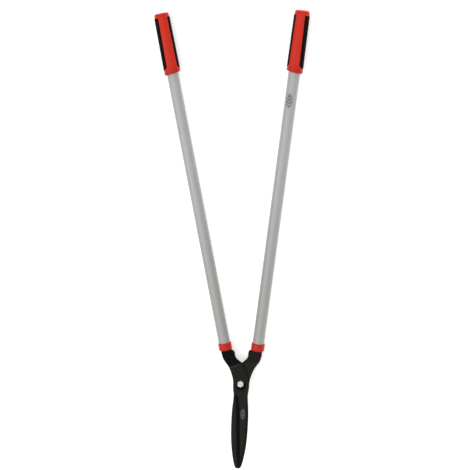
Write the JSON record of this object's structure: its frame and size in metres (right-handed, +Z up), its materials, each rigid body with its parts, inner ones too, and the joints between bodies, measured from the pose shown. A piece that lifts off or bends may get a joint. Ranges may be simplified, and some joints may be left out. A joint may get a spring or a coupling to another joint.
{
  "type": "long-handled garden shears",
  "caption": "Long-handled garden shears: straight tubular handles with soft grips, and crossed cranked blades that pivot on a hexagon bolt.",
  "frame": {"origin": "on the ground under the middle of the shears: the centre of the bounding box underside", "axes": "+Y along the centre line from the blade tips to the grips, +Z up out of the handle plane and towards the front blade, +X to the right handle"},
  "size_m": [0.3306, 0.9732, 0.1032],
  "materials": {
    "blade_black": "satin black non-stick coating",
    "zinc_plate": "bright zinc plate",
    "bush_bronze": "oiled bronze",
    "acetal": "greased acetal",
    "spring_steel": "oiled spring steel",
    "nylon": "nylon",
    "tube_grey": "satin grey coating on drawn aluminium",
    "red_plastic": "semi-gloss moulded plastic",
    "sleeve_plastic": "glass-filled nylon",
    "black_rubber": "soft matt rubber"
  },
  "bodies": {
    "right_half": {"back_blade": "blade_black", "right_tube": "tube_grey", "right_collar": "red_plastic", "right_tang_sleeve": "sleeve_plastic", "right_tang_pin": "zinc_plate", "right_grip_shell": "red_plastic", "right_grip_pad_outer": "black_rubber", "right_grip_pad_inner": "black_rubber"},
    "left_half": {"front_blade": "blade_black", "pivot_bolt": "zinc_plate", "pivot_bush": "bush_bronze", "friction_washer": "acetal", "flat_washer": "zinc_plate", "disc_spring": "spring_steel", "lock_nut": "zinc_plate", "nut_nylon_ring": "nylon", "left_tube": "tube_grey", "left_collar": "red_plastic", "left_tang_sleeve": "sleeve_plastic", "left_tang_pin": "zinc_plate", "left_grip_shell": "red_plastic", "left_grip_pad_outer": "black_rubber", "left_grip_pad_inner": "black_rubber"}
  },
  "joints": [
    {"name": "blade_pivot", "type": "hinge", "parent": "right_half", "child": "left_half", "pos_m": [0, -0.31849, 0.03368], "axis": [0, 0.3746, 0.9272], "range_deg": [0, 45]}
  ]
}
